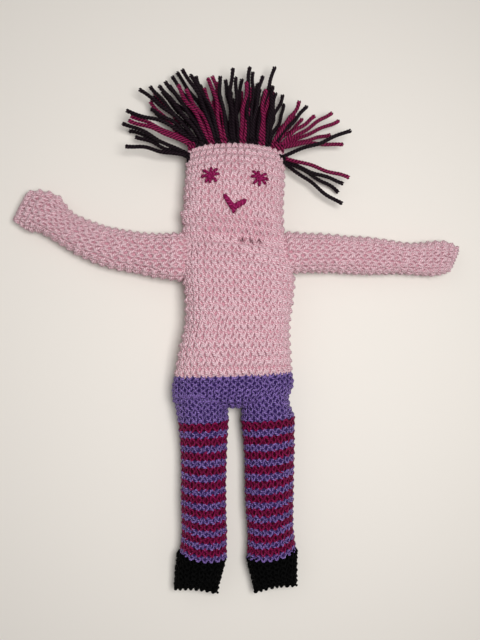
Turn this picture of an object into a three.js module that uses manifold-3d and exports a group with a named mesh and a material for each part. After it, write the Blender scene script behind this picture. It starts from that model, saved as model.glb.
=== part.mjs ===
// A hand-knitted doll lying on its back: knitted covers, fibre stuffing, sewing yarn,
// stitched features and yarn hair. Millimetres. +X is the doll's own left, +Y its head, +Z up.
// The origin is on the surface it lies on, under the middle of its back.
import * as THREE from "three";
import { mergeVertices } from "three/addons/utils/BufferGeometryUtils.js";
import Module from "manifold-3d";

const wasm = await Module();
wasm.setup();

// Fabric, yarn and fits
const FABRIC = 3.5; // thickness of the knitted fabric
const HAIR_YARN = 2.6;
const FACE_YARN = 2.4;
const SEWING_YARN = 1.4; // pulled tight
const CLEARANCE = 0.3; // between pieces that touch
const REST_CUT = 0.5; // depth of the flats on which the doll lies

// Body
const WAIST_Y = -47;
const CROTCH_Y = -66.2;
const HIP_WIDTH = 80;
const HIP_DEPTH = 31;
const WAIST_WIDTH = 78.5;
const WAIST_DEPTH = 36;
const BELLY_WIDTH = 77;
const BELLY_DEPTH = 38;
const CHEST_WIDTH = 76;
const CHEST_DEPTH = 35;
const CHEST_Y = 18;
const NECK_WIDTH = 69;
const HIP_ASIDE = 1.5; // the hips and the waist lie a little towards the doll's right
const WAIST_ASIDE = 1;
const CHEST_ASIDE = 0.5; // and the chest towards its left
const CROTCH_TUCK = 3; // how far each side draws in
const SHOULDER_TUCK = 1;
const SHOULDER_SLOPE = 1.5;
const HIP_RIM = 2.5; // fabric beyond the roll that seats in it
const NECK_RIM = 1;

// Head, which nods on a roll at its lower end
const NECK_AXIS_Y = 52;
const NECK_AXIS_Z = 16;
const NECK_ROLL_R = 12;
const NECK_SEAT = 10.5; // from the axis down to the rim of the torso
const HEAD_LENGTH = 54; // from the neck axis to the corners of the crown
const CHEEK_WIDTH = 72;
const BROW_WIDTH = 70;
const CROWN_WIDTH = 63;
const HEAD_DEPTH = 35;
const CROWN_DEPTH = 6;
const CROWN_ARCH = 3.5;
const ARCH_RUN = 8; // how far below the brow the arch begins
const CHEEK_UP = 12; // above the neck axis
const CHIN_SINK = 1; // how much less deep than the middle of the face
const BROW_SINK = 0.5;
const CORNER_SINK = 4.5;
const CHEEK_TAPER = 0.5;
const BROW_DROP = 16; // below the corners of the crown
const CORNER_DROP = 6;
const CORNER_SHARE = 0.3; // how far the corners have narrowed from the brow to the crown
const CROWN_LIP = 1.5;
const CROWN_FLARE = 1;

// Arms, which turn on a ball at the shoulder
const SHOULDER_BALL_R = 11.5;
const SHOULDER_STANDOFF = 5; // from the side of the chest out to the ball's centre
const SHOULDER_Y = 30;
const SHOULDER_Z = 14;
const ARM_DEPTH = 22;
const HAND_DEPTH = 20;
const LEFT_ARM_WIDTH = 29.5;
const RIGHT_ARM_WIDTH = 32;
const HAND_WIDTH = 27;
const HAND_CLOSE = 4.5; // length in which the hand closes
const HAND_TAPER = 1;
const HAND_SINK = 2;
const LEFT_ARM_REACH = 107; // sideways from the shoulder to where the hand closes
const RIGHT_ARM_REACH = 97;
// Centre lines from the shoulder: outwards, then towards the head
const LEFT_ARM_LINE = [[13, 0.5], [36, 2], [71, 0], [LEFT_ARM_REACH - 10, 1.5], [LEFT_ARM_REACH, 2.5]];
const RIGHT_ARM_LINE = [[13, 1], [34, 5], [55, 12], [RIGHT_ARM_REACH - 25, 22], [RIGHT_ARM_REACH, 36.5]];

// Legs, which swing on a roll at the crotch
const HIP_AXIS_Y = -77;
const HIP_AXIS_Z = 14;
const HIP_ROLL_R = 10;
const LEG_SPREAD = 21.5; // from the middle of the doll to the middle of a leg
const THIGH_DEPTH = 20.4;
const KNEE_DEPTH = 26;
const FOOT_DEPTH = 23;
const THIGH_LENGTH = 14; // slack length below the hip axis
const LEFT_LEG_WIDTH = 35;
const RIGHT_LEG_WIDTH = 31.5;
const STRIPES_Y = -77.5; // where the leg's yarn changes from shorts to stripes
const ANKLE_Y = -164;
const FOOT_LENGTH = 23;
const KNEE_TAPER = 0.5; // how much narrower each side is than at the hip
const CALF_TAPER = 0.8;
const ANKLE_TAPER = 1;
const INSTEP_TAPER = 0.5;
const TOE_ROUND = 6; // length in which the foot rounds off
const TOE_LIP = 1.5;
const TOE_TAPER = 1;
const LEFT_TOE_OUT = 3;
const RIGHT_TOE_OUT = 4.5;

// Openings through which the stuffing was pushed: half sizes
const NECK_OPENING = [20, 6];
const ARM_OPENING = [6, 5];
const HIP_OPENING = [8, 2.5];
const NECK_PASSAGE = 4; // from the neck axis up into the head
const ARM_PASSAGE = 30; // from the shoulder into the chest
const OPENING_CUT = 10; // past the end of a limb

// Face
const EYE_SPACING = 32;
const EYE_UP = 29; // above the neck axis
const EYE_RAY = 6;
const EYE_STITCHES = 4; // each crosses the middle, so a star has twice as many rays
const EYE_TURN = 0.15; // of the angle between two stitches
const MOUTH_UP = 10;
const MOUTH_ASIDE = 1.5; // the mouth sits a little towards the doll's right
const MOUTH_WIDTH = 13;
const MOUTH_DROP = 4.5;
const MOUTH_STEM = 5;

// Hair: one tuft for each stitch of the crown, two more on its corners
const HAIR_LENGTH = 49;
const CORNER_HAIR_LENGTH = 45;
const HAIR_UNEVEN = 3; // how much shorter the shortest strand is
const HAIR_BEAT = [2.3, 1.7]; // radians from tuft to tuft and from strand to strand
const STRAND_SPREAD_DEG = [2.5, 14]; // least and most
const KNOT = [1.7, 2.6, 3]; // half sizes
const STRAND_TIPS_Z = [25, 19, 13, 7];
const STRAND_RISE = 0.8; // below 1, a strand rises or falls mostly near its root
const HAIR_FAN_DEG = [-80, -64, -46, -36, -27, -18, -10, -3, 2, 5, 8, 11, 15, 24, 40, 60, 108];
const HAIR_SHADES = "bmbbmbbmbbmbmbmmb"; // b for black, m for magenta

// Seams
const NECK_STITCHES = 15;
const LIMB_STITCHES = 10;
const SEAM_BITE_DEG = 4;
const END_STITCHES = 5;
const END_SEAM_SHARE = 0.85; // of the width of the end that it closes

// Facets
const BODY_SIDES = 24;
const LIMB_SIDES = 16;
const CAVITY_SIDES = 12;
const ROLL_SIDES = 32;
const BALL_FACETS = [20, 14];
const BODY_RINGS = 11;
const HEAD_RINGS = 11;
const ARM_RINGS = 10;
const LEG_RINGS = 12;

const TOE_Y = ANKLE_Y - FOOT_LENGTH;
const JOINT_GAP = SEWING_YARN + 2 * CLEARANCE; // holds the sewing yarn
const BODY_POWER = 2.5; // squarer than an ellipse
const BIG = 400;

const COLOURS = {
  pink: 0xe2aab2,
  purple: 0x6c4c9e,
  magenta: 0x9a1f58,
  stripes: 0x86356f,
  black: 0x1a161c,
  stuffing: 0xf0ece2,
};

// Solids

function solidOf(geometry) {
  const bare = new THREE.BufferGeometry();
  bare.setAttribute("position", geometry.getAttribute("position"));
  if (geometry.index) bare.setIndex(geometry.index);
  const merged = mergeVertices(bare, 1e-4);
  return new wasm.Manifold(
    new wasm.Mesh({
      numProp: 3,
      vertProperties: new Float32Array(merged.getAttribute("position").array),
      triVerts: new Uint32Array(merged.index.array),
    }),
  );
}

function meshOf(name, solid, colour) {
  const made = solid.getMesh();
  const geometry = new THREE.BufferGeometry();
  geometry.setAttribute("position", new THREE.BufferAttribute(made.vertProperties, 3));
  geometry.setIndex(new THREE.BufferAttribute(made.triVerts, 1));
  geometry.computeVertexNormals();
  const material = new THREE.MeshStandardMaterial({ color: colour, roughness: 0.9, metalness: 0 });
  const mesh = new THREE.Mesh(geometry, material);
  mesh.name = name;
  return mesh;
}

function box(lowY, highY) {
  const slab = new THREE.BoxGeometry(BIG, highY - lowY, BIG);
  return solidOf(slab.translate(0, (lowY + highY) / 2, 0));
}

function ball(centre, radius) {
  const sphere = new THREE.SphereGeometry(radius, ...BALL_FACETS);
  return solidOf(sphere.translate(...centre));
}

// A cylinder along X
function roll(y, z, radius, halfLength) {
  const cylinder = new THREE.CylinderGeometry(radius, radius, 2 * halfLength, ROLL_SIDES);
  return solidOf(cylinder.rotateZ(Math.PI / 2).translate(0, y, z));
}

const underFloor = solidOf(new THREE.BoxGeometry(2 * BIG, 2 * BIG, BIG).translate(0, 0, -BIG / 2));

// Lofts through stations: a centre, a half width across the path and a half depth along Z

const station = (x, y, z, w, d) => ({ c: new THREE.Vector3(x, y, z), w, d });

// A station that lies on the floor, pressed flat by REST_CUT
const lying = (x, y, w, d) => station(x, y, d - REST_CUT, w, d);

const lerp = THREE.MathUtils.lerp;

function smooth(stations, count) {
  const path = new THREE.CatmullRomCurve3(stations.map((s) => s.c));
  const sizes = new THREE.CatmullRomCurve3(stations.map((s) => new THREE.Vector3(s.w, s.d, 0)));
  return Array.from({ length: count + 1 }, (_, i) => {
    const size = sizes.getPoint(i / count);
    return { c: path.getPoint(i / count), w: size.x, d: size.y };
  });
}

// The stations that a cavity has inside a cover: smaller all round, and short of a closed end
function inside(stations, wall) {
  const kept = stations.filter((s) => s.d > 1.5 * wall && s.w > 1.5 * wall);
  return kept.map((s) => ({ c: s.c, w: s.w - wall, d: s.d - wall }));
}

// The same run of stations with its two ends drawn in along the path
function trimmed(stations, length) {
  const run = stations.map((s) => ({ ...s, c: s.c.clone() }));
  const last = run.length - 1;
  run[0].c.add(run[1].c.clone().sub(run[0].c).setLength(length));
  run[last].c.add(run[last - 1].c.clone().sub(run[last].c).setLength(length));
  return run;
}

const power = (v, n) => Math.sign(v) * Math.abs(v) ** (2 / n);

function loft(stations, sides, n = 2, bow = () => 0) {
  const points = [];
  const faces = [];
  const last = stations.length - 1;
  stations.forEach((s, i) => {
    const before = stations[Math.max(i - 1, 0)].c;
    const after = stations[Math.min(i + 1, last)].c;
    const across = new THREE.Vector3(after.y - before.y, before.x - after.x, 0).normalize();
    for (let k = 0; k < sides; k++) {
      const a = (2 * Math.PI * k) / sides;
      const u = s.w * power(Math.cos(a), n);
      const v = s.d * power(Math.sin(a), n);
      points.push(s.c.x + across.x * u, s.c.y + across.y * u + bow(u, s.c.y), s.c.z + v);
    }
  });
  const at = (i, k) => i * sides + (k % sides);
  for (let i = 0; i < last; i++) {
    for (let k = 0; k < sides; k++) {
      faces.push(at(i, k), at(i + 1, k), at(i + 1, k + 1), at(i, k), at(i + 1, k + 1), at(i, k + 1));
    }
  }
  for (let k = 1; k < sides - 1; k++) {
    faces.push(at(0, 0), at(0, k), at(0, k + 1), at(last, 0), at(last, k + 1), at(last, k));
  }
  const geometry = new THREE.BufferGeometry();
  geometry.setAttribute("position", new THREE.Float32BufferAttribute(points, 3));
  geometry.setIndex(faces);
  return solidOf(geometry);
}

// Yarn along a curve, open or closed

function yarn(points, diameter, steps, sides) {
  const section = new THREE.Shape(
    Array.from({ length: sides }, (_, k) => {
      const a = (2 * Math.PI * k) / sides;
      return new THREE.Vector2(Math.cos(a), Math.sin(a)).multiplyScalar(diameter / 2);
    }),
  );
  const extrudePath = new THREE.CatmullRomCurve3(points.map((p) => new THREE.Vector3(...p)));
  return solidOf(new THREE.ExtrudeGeometry(section, { steps, extrudePath }));
}

function yarnLoop(points, diameter, sides) {
  const ring = points.map((p) => new THREE.Vector3(...p));
  const centre = ring.reduce((sum, p) => sum.add(p), new THREE.Vector3()).divideScalar(ring.length);
  const vertices = [];
  const faces = [];
  const count = ring.length;
  ring.forEach((p, i) => {
    const along = ring[(i + 1) % count].clone().sub(ring[(i + count - 1) % count]).normalize();
    const outward = p.clone().sub(centre);
    outward.addScaledVector(along, -outward.dot(along)).normalize();
    const other = new THREE.Vector3().crossVectors(along, outward);
    for (let k = 0; k < sides; k++) {
      const a = (2 * Math.PI * k) / sides;
      const v = p.clone().addScaledVector(outward, (Math.cos(a) * diameter) / 2);
      vertices.push(...v.addScaledVector(other, (Math.sin(a) * diameter) / 2).toArray());
    }
  });
  const at = (i, k) => (i % count) * sides + (k % sides);
  for (let i = 0; i < count; i++) {
    for (let k = 0; k < sides; k++) {
      faces.push(at(i, k), at(i, k + 1), at(i + 1, k), at(i + 1, k), at(i, k + 1), at(i + 1, k + 1));
    }
  }
  const geometry = new THREE.BufferGeometry();
  geometry.setAttribute("position", new THREE.Float32BufferAttribute(vertices, 3));
  geometry.setIndex(faces);
  const solid = solidOf(geometry);
  if (solid.volume() > 0) return solid;
  geometry.setIndex(faces.reverse());
  return solidOf(geometry);
}

// How far round a joint of this radius the seam of an opening lies
const seamAngle = (halfDepth, radius) => Math.asin((halfDepth + SEWING_YARN / 2) / radius);

// Overcast stitches round an opening: a loop whose opening angle goes out and in
function overcast(stitches, place) {
  const points = [];
  for (let i = 0; i < 2 * stitches; i++) {
    const bite = i % 2 ? SEAM_BITE_DEG : -SEAM_BITE_DEG;
    points.push(place((Math.PI * i) / stitches, THREE.MathUtils.degToRad(bite)));
  }
  return yarnLoop(points, SEWING_YARN, 4);
}

// The stations of a rounded limb end, from its tip to the joint's centre
const ROUND_SHARES = [0.97, 0.86, 0.64, 0.34];
const ROLL_TAPER = 0.12; // share by which a roll narrows at its tip

function roundEnd(centre, away, radius, width, depth, isBall) {
  return ROUND_SHARES.map((share) => {
    const reach = radius * Math.sqrt(1 - share * share);
    const c = new THREE.Vector3(...centre).addScaledVector(away, -radius * share);
    const w = isBall ? Math.min(width / 2, reach) : (width / 2) * (1 - ROLL_TAPER * share * share);
    return { c, w, d: Math.min(depth / 2, reach) };
  });
}

// Torso and shorts: one stuffed form, cut where the yarn changes colour

const neckRimY = NECK_AXIS_Y - NECK_SEAT;
const shoulderX = CHEST_WIDTH / 2 + SHOULDER_STANDOFF;
const shoulders = { left: [shoulderX, SHOULDER_Y, SHOULDER_Z], right: [-shoulderX, SHOULDER_Y, SHOULDER_Z] };
const hips = { left: [LEG_SPREAD, HIP_AXIS_Y, HIP_AXIS_Z], right: [-LEG_SPREAD, HIP_AXIS_Y, HIP_AXIS_Z] };

const bodyStations = smooth(
  [
    station(-HIP_ASIDE, CROTCH_Y, HIP_AXIS_Z, HIP_WIDTH / 2 - CROTCH_TUCK, HIP_ROLL_R + HIP_RIM),
    lying(-HIP_ASIDE, lerp(CROTCH_Y, WAIST_Y, 0.4), HIP_WIDTH / 2, HIP_DEPTH / 2),
    lying(-WAIST_ASIDE, WAIST_Y, WAIST_WIDTH / 2, WAIST_DEPTH / 2),
    lying(0, lerp(WAIST_Y, CHEST_Y, 0.4), BELLY_WIDTH / 2, BELLY_DEPTH / 2),
    lying(CHEST_ASIDE, CHEST_Y, CHEST_WIDTH / 2, CHEST_DEPTH / 2),
    station(
      0,
      lerp(CHEST_Y, neckRimY, 0.6),
      NECK_AXIS_Z,
      CHEST_WIDTH / 2 - SHOULDER_TUCK,
      CHEST_DEPTH / 2 - SHOULDER_SLOPE,
    ),
    station(0, neckRimY, NECK_AXIS_Z, NECK_WIDTH / 2, NECK_ROLL_R + NECK_RIM),
  ],
  BODY_RINGS,
);

const neckCut = (extra) =>
  roll(NECK_AXIS_Y, NECK_AXIS_Z, NECK_ROLL_R + JOINT_GAP + extra, NECK_WIDTH / 2 + 2 * FABRIC);
const hipCut = (extra) => roll(HIP_AXIS_Y, HIP_AXIS_Z, HIP_ROLL_R + JOINT_GAP + extra, HIP_WIDTH / 2);
const shoulderCut = (side, extra) => ball(shoulders[side], SHOULDER_BALL_R + JOINT_GAP + extra);

function withoutJoints(solid, extra) {
  return solid
    .subtract(neckCut(extra))
    .subtract(hipCut(extra))
    .subtract(shoulderCut("left", extra))
    .subtract(shoulderCut("right", extra));
}

// Short straight passages for the stuffing
function passage(from, to, [halfWidth, halfDepth]) {
  return loft([station(...from, halfWidth, halfDepth), station(...to, halfWidth, halfDepth)], CAVITY_SIDES);
}

const neckPassage = (from, to) => passage([0, from, NECK_AXIS_Z], [0, to, NECK_AXIS_Z], NECK_OPENING);
const hipPassage = ([x, y, z]) => passage([x, y, z], [x, y + HIP_ROLL_R + 4 * FABRIC, z], HIP_OPENING);
const armPassage = ([x, y, z]) => passage([x, y, z], [x - Math.sign(x) * ARM_PASSAGE, y, z], ARM_OPENING);

const cavityStations = trimmed(inside(bodyStations, FABRIC), FABRIC);
const bodyCavity = withoutJoints(loft(cavityStations, CAVITY_SIDES, BODY_POWER), FABRIC);
const bodyCover = withoutJoints(loft(bodyStations, BODY_SIDES, BODY_POWER).subtract(underFloor), 0)
  .subtract(bodyCavity)
  .subtract(neckPassage(neckRimY - 4 * FABRIC, NECK_AXIS_Y))
  .subtract(hipPassage(hips.left))
  .subtract(hipPassage(hips.right))
  .subtract(armPassage(shoulders.left))
  .subtract(armPassage(shoulders.right));

const torsoCover = bodyCover.intersect(box(WAIST_Y + CLEARANCE / 2, BIG));
const shortsCover = bodyCover.intersect(box(-BIG, WAIST_Y - CLEARANCE / 2));
const bodyStuffing = withoutJoints(
  loft(trimmed(inside(bodyStations, FABRIC + CLEARANCE), FABRIC + CLEARANCE), CAVITY_SIDES, BODY_POWER),
  FABRIC + CLEARANCE,
);

// Head: a pillow that narrows to an arched crown and ends in the neck roll

const neck = [0, NECK_AXIS_Y, NECK_AXIS_Z];
const crownY = NECK_AXIS_Y + HEAD_LENGTH;
const browY = crownY - BROW_DROP;
const cornerY = crownY - CORNER_DROP;
const cornerHalf = lerp(BROW_WIDTH, CROWN_WIDTH, CORNER_SHARE) / 2;
const headStations = [
  ...roundEnd(neck, new THREE.Vector3(0, 1, 0), NECK_ROLL_R, NECK_WIDTH, 2 * NECK_ROLL_R, false),
  ...smooth(
    [
      station(...neck, NECK_WIDTH / 2, NECK_ROLL_R),
      lying(0, NECK_AXIS_Y + CHEEK_UP, CHEEK_WIDTH / 2, HEAD_DEPTH / 2 - CHIN_SINK),
      lying(0, lerp(NECK_AXIS_Y, crownY, 0.5), CHEEK_WIDTH / 2 - CHEEK_TAPER, HEAD_DEPTH / 2),
      lying(0, browY, BROW_WIDTH / 2, HEAD_DEPTH / 2 - BROW_SINK),
      station(0, cornerY, NECK_AXIS_Z, cornerHalf, HEAD_DEPTH / 2 - CORNER_SINK),
      station(0, crownY - CROWN_LIP, NECK_AXIS_Z, CROWN_WIDTH / 2 + CROWN_FLARE, CROWN_DEPTH),
      station(0, crownY, NECK_AXIS_Z, CROWN_WIDTH / 2, CROWN_DEPTH / 2),
    ],
    HEAD_RINGS,
  ),
];

function crownBow(u, y) {
  const rise = THREE.MathUtils.smoothstep(y, browY - ARCH_RUN, crownY);
  const middle = 1 - (2 * u) ** 2 / BROW_WIDTH ** 2;
  return CROWN_ARCH * rise * Math.max(middle, 0);
}

const headInner = inside(headStations.slice(ROUND_SHARES.length), FABRIC);
const headCover = loft(headStations, BODY_SIDES, BODY_POWER, crownBow)
  .subtract(underFloor)
  .subtract(loft(trimmed(headInner, CLEARANCE), CAVITY_SIDES, BODY_POWER, crownBow))
  .subtract(neckPassage(NECK_AXIS_Y - 2 * NECK_ROLL_R, NECK_AXIS_Y + NECK_PASSAGE));
const headStuffingStations = inside(headStations.slice(ROUND_SHARES.length), FABRIC + CLEARANCE);
const headStuffing = loft(trimmed(headStuffingStations, 3 * CLEARANCE), CAVITY_SIDES, BODY_POWER, crownBow);

// Height of the face at a point, on the head's own stations
function faceZ(x, y) {
  const i = headStations.findIndex((s) => s.c.y > y);
  const [a, b] = [headStations[i - 1], headStations[i]];
  const t = (y - a.c.y) / (b.c.y - a.c.y);
  const side = Math.min(Math.abs(x) / lerp(a.w, b.w, t), 1);
  return lerp(a.c.z, b.c.z, t) + lerp(a.d, b.d, t) * (1 - side ** BODY_POWER) ** (1 / BODY_POWER);
}

// One stitch laid on the face
function faceStitch([x0, y0], [x1, y1]) {
  const points = [0, 0.25, 0.5, 0.75, 1].map((t) => {
    const [x, y] = [lerp(x0, x1, t), lerp(y0, y1, t)];
    return [x, y, faceZ(x, y) + FACE_YARN / 2 + CLEARANCE];
  });
  return yarn(points, FACE_YARN, 4, 5);
}

function starEye(x, y) {
  const stitches = Array.from({ length: EYE_STITCHES }, (_, k) => {
    const a = (Math.PI * (k + EYE_TURN)) / EYE_STITCHES;
    const [dx, dy] = [EYE_RAY * Math.cos(a), EYE_RAY * Math.sin(a)];
    return faceStitch([x - dx, y - dy], [x + dx, y + dy]);
  });
  return stitches.reduce((all, stitch) => all.add(stitch));
}

const eyeY = NECK_AXIS_Y + EYE_UP;
const mouthY = NECK_AXIS_Y + MOUTH_UP;
const mouthX = -MOUTH_ASIDE;
const mouth = faceStitch([mouthX - MOUTH_WIDTH / 2, mouthY + MOUTH_DROP], [mouthX, mouthY])
  .add(faceStitch([mouthX + MOUTH_WIDTH / 2, mouthY + MOUTH_DROP], [mouthX, mouthY]))
  .add(faceStitch([mouthX, mouthY], [mouthX, mouthY - MOUTH_STEM]));

// Hair: a knot on the crown's edge and four strands in each tuft

function hairTuft(index) {
  const last = HAIR_FAN_DEG.length - 1;
  const isCorner = index === 0 || index === last;
  const side = index === 0 ? -1 : 1;
  const rowHalf = CROWN_WIDTH / 2 - KNOT[0];
  const cornerX = side * (cornerHalf + CLEARANCE + KNOT[0]);
  const x = isCorner ? cornerX : lerp(-rowHalf, rowHalf, (index - 1) / (last - 2));
  const y = isCorner ? cornerY : crownY + crownBow(x, crownY) + CLEARANCE + KNOT[1];
  const z = NECK_AXIS_Z;
  const knot = solidOf(new THREE.SphereGeometry(1, 6, 4).scale(...KNOT).translate(x, y, z));
  const low = HAIR_FAN_DEG[Math.max(index - 1, 0)];
  const high = HAIR_FAN_DEG[Math.min(index + 1, last)];
  const spread = THREE.MathUtils.clamp((high - low) / STRAND_TIPS_Z.length, ...STRAND_SPREAD_DEG);
  const longest = isCorner ? CORNER_HAIR_LENGTH : HAIR_LENGTH;
  return STRAND_TIPS_Z.reduce((tuft, tipZ, k) => {
    const lean = k % 2 ? -spread : spread;
    const length = longest - HAIR_UNEVEN * Math.abs(Math.sin(HAIR_BEAT[0] * index + HAIR_BEAT[1] * k));
    const points = [0, 0.25, 0.6, 1].map((t) => {
      const a = THREE.MathUtils.degToRad(HAIR_FAN_DEG[index] + lean * t);
      const rise = (tipZ - z) * t ** STRAND_RISE;
      return [x + length * t * Math.sin(a), y + length * t * Math.cos(a), z + rise];
    });
    return tuft.add(yarn(points, HAIR_YARN, 3, 4));
  }, knot);
}

// Arms: a ball at the shoulder, a bent sleeve and a flat sewn hand

function armStations(side, line, width) {
  const out = side === "left" ? 1 : -1;
  const centre = shoulders[side];
  const at = ([along, up]) => [centre[0] + out * along, centre[1] + up];
  const wrist = lerp(width, HAND_WIDTH, 0.6);
  const [tipX, tipY] = at(line[4]);
  const [handX, handY] = at(line[3]);
  const heading = new THREE.Vector3(tipX - handX, tipY - handY, 0).normalize();
  const end = (distance, w, d) =>
    station(tipX + heading.x * distance, tipY + heading.y * distance, HAND_DEPTH / 2 - REST_CUT, w, d);
  return [
    ...roundEnd(centre, new THREE.Vector3(out, 0, 0), SHOULDER_BALL_R, 2 * SHOULDER_BALL_R, ARM_DEPTH, true),
    ...smooth(
      [
        station(...centre, SHOULDER_BALL_R, ARM_DEPTH / 2),
        station(...at(line[0]), lerp(SHOULDER_Z, ARM_DEPTH / 2 - REST_CUT, 0.6), width / 2, ARM_DEPTH / 2),
        lying(...at(line[1]), width / 2, ARM_DEPTH / 2),
        lying(...at(line[2]), wrist / 2, ARM_DEPTH / 2),
        lying(...at(line[3]), HAND_WIDTH / 2, HAND_DEPTH / 2),
        end(0, (HAND_WIDTH - HAND_TAPER) / 2, HAND_DEPTH / 2 - HAND_SINK),
        end(HAND_CLOSE - HAND_TAPER, HAND_WIDTH / 2 - 2 * HAND_TAPER, HAND_DEPTH / 4),
        end(HAND_CLOSE, HAND_WIDTH / 2 - 3 * HAND_TAPER, HAND_DEPTH / 8),
      ],
      ARM_RINGS,
    ),
  ];
}

// A cover that is open at its joint end, and the stuffing that fills it
function stuffedLimb(stations, opening) {
  const run = stations.slice(ROUND_SHARES.length);
  const away = stations[1].c.clone().sub(stations[0].c).normalize();
  const mouthOut = stations[0].c.clone().addScaledVector(away, -OPENING_CUT).toArray();
  const cavity = loft(trimmed(inside(run, FABRIC), CLEARANCE), CAVITY_SIDES);
  const cover = loft(stations, LIMB_SIDES)
    .subtract(underFloor)
    .subtract(cavity)
    .subtract(passage(mouthOut, run[1].c.toArray(), opening));
  const stuffing = loft(trimmed(inside(run, FABRIC + CLEARANCE), 3 * CLEARANCE), CAVITY_SIDES);
  return { cover, stuffing };
}

// Overcast yarn along the closed edge at a limb's end
function endSeam(stations) {
  const end = stations[stations.length - 1];
  const before = stations[stations.length - 2];
  const heading = end.c.clone().sub(before.c).normalize();
  const across = new THREE.Vector3(heading.y, -heading.x, 0).normalize();
  const count = 2 * END_STITCHES;
  const points = Array.from({ length: count + 1 }, (_, i) => {
    const rise = (i % 2 ? 1 : -1) * (end.d - SEWING_YARN / 2);
    const c = end.c.clone().addScaledVector(heading, SEWING_YARN / 2 + CLEARANCE);
    c.addScaledVector(across, lerp(-END_SEAM_SHARE, END_SEAM_SHARE, i / count) * end.w);
    return [c.x, c.y, c.z + rise];
  });
  return yarn(points, SEWING_YARN, 2 * END_STITCHES, 4);
}

// Legs: a roll at the hip, a tapered stocking and a blunt foot

function legStations(side, width, toeOut) {
  const out = side === "left" ? 1 : -1;
  const centre = hips[side];
  const thighY = HIP_AXIS_Y - THIGH_LENGTH;
  const footY = lerp(ANKLE_Y, TOE_Y, 0.4);
  const x = centre[0];
  const toe = (y, w, d) => station(x + out * toeOut, y, FOOT_DEPTH / 2 - REST_CUT, w, d);
  return [
    ...roundEnd(centre, new THREE.Vector3(0, -1, 0), HIP_ROLL_R, width, THIGH_DEPTH, false),
    ...smooth(
      [
        station(...centre, width / 2, HIP_ROLL_R),
        station(x, thighY, lerp(HIP_AXIS_Z, KNEE_DEPTH / 2, 0.5), width / 2, THIGH_DEPTH / 2),
        lying(x, lerp(thighY, ANKLE_Y, 0.3), width / 2 - KNEE_TAPER, KNEE_DEPTH / 2),
        lying(x, lerp(thighY, ANKLE_Y, 0.7), width / 2 - CALF_TAPER, KNEE_DEPTH / 2),
        lying(x, ANKLE_Y, width / 2 - ANKLE_TAPER, FOOT_DEPTH / 2),
        lying(x + 0.5 * out * toeOut, footY, width / 2 - INSTEP_TAPER, FOOT_DEPTH / 2),
        toe(TOE_Y + TOE_ROUND, width / 2 - TOE_TAPER, FOOT_DEPTH / 2 - TOE_LIP),
        toe(TOE_Y + TOE_LIP, width / 2 - 2 * TOE_TAPER, FOOT_DEPTH / 4),
        toe(TOE_Y, width / 2 - 3 * TOE_TAPER, FOOT_DEPTH / 8),
      ],
      LEG_RINGS,
    ),
  ];
}

// Assembly

const doll = new THREE.Group();
const put = (name, solid, colour) => doll.add(meshOf(name, solid, COLOURS[colour]));

put("torso_cover", torsoCover, "pink");
put("shorts_cover", shortsCover, "purple");
put("body_stuffing", bodyStuffing, "stuffing");

put("head_cover", headCover, "pink");
put("head_stuffing", headStuffing, "stuffing");
put("left_eye", starEye(EYE_SPACING / 2, eyeY), "magenta");
put("right_eye", starEye(-EYE_SPACING / 2, eyeY), "magenta");
put("mouth", mouth, "magenta");
HAIR_FAN_DEG.forEach((_, i) => {
  const name = "hair_tuft_" + String(i + 1).padStart(2, "0");
  put(name, hairTuft(i), HAIR_SHADES[i] === "b" ? "black" : "magenta");
});

const neckSeamR = NECK_ROLL_R + JOINT_GAP / 2;
const neckSeam = overcast(NECK_STITCHES, (turn, bite) => {
  const a = Math.sin(turn) * (seamAngle(NECK_OPENING[1], neckSeamR) + bite);
  const x = Math.cos(turn) * (NECK_OPENING[0] + FABRIC + bite * neckSeamR);
  return [x, NECK_AXIS_Y - neckSeamR * Math.cos(a), NECK_AXIS_Z + neckSeamR * Math.sin(a)];
});
put("neck_seam", neckSeam, "pink");

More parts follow.
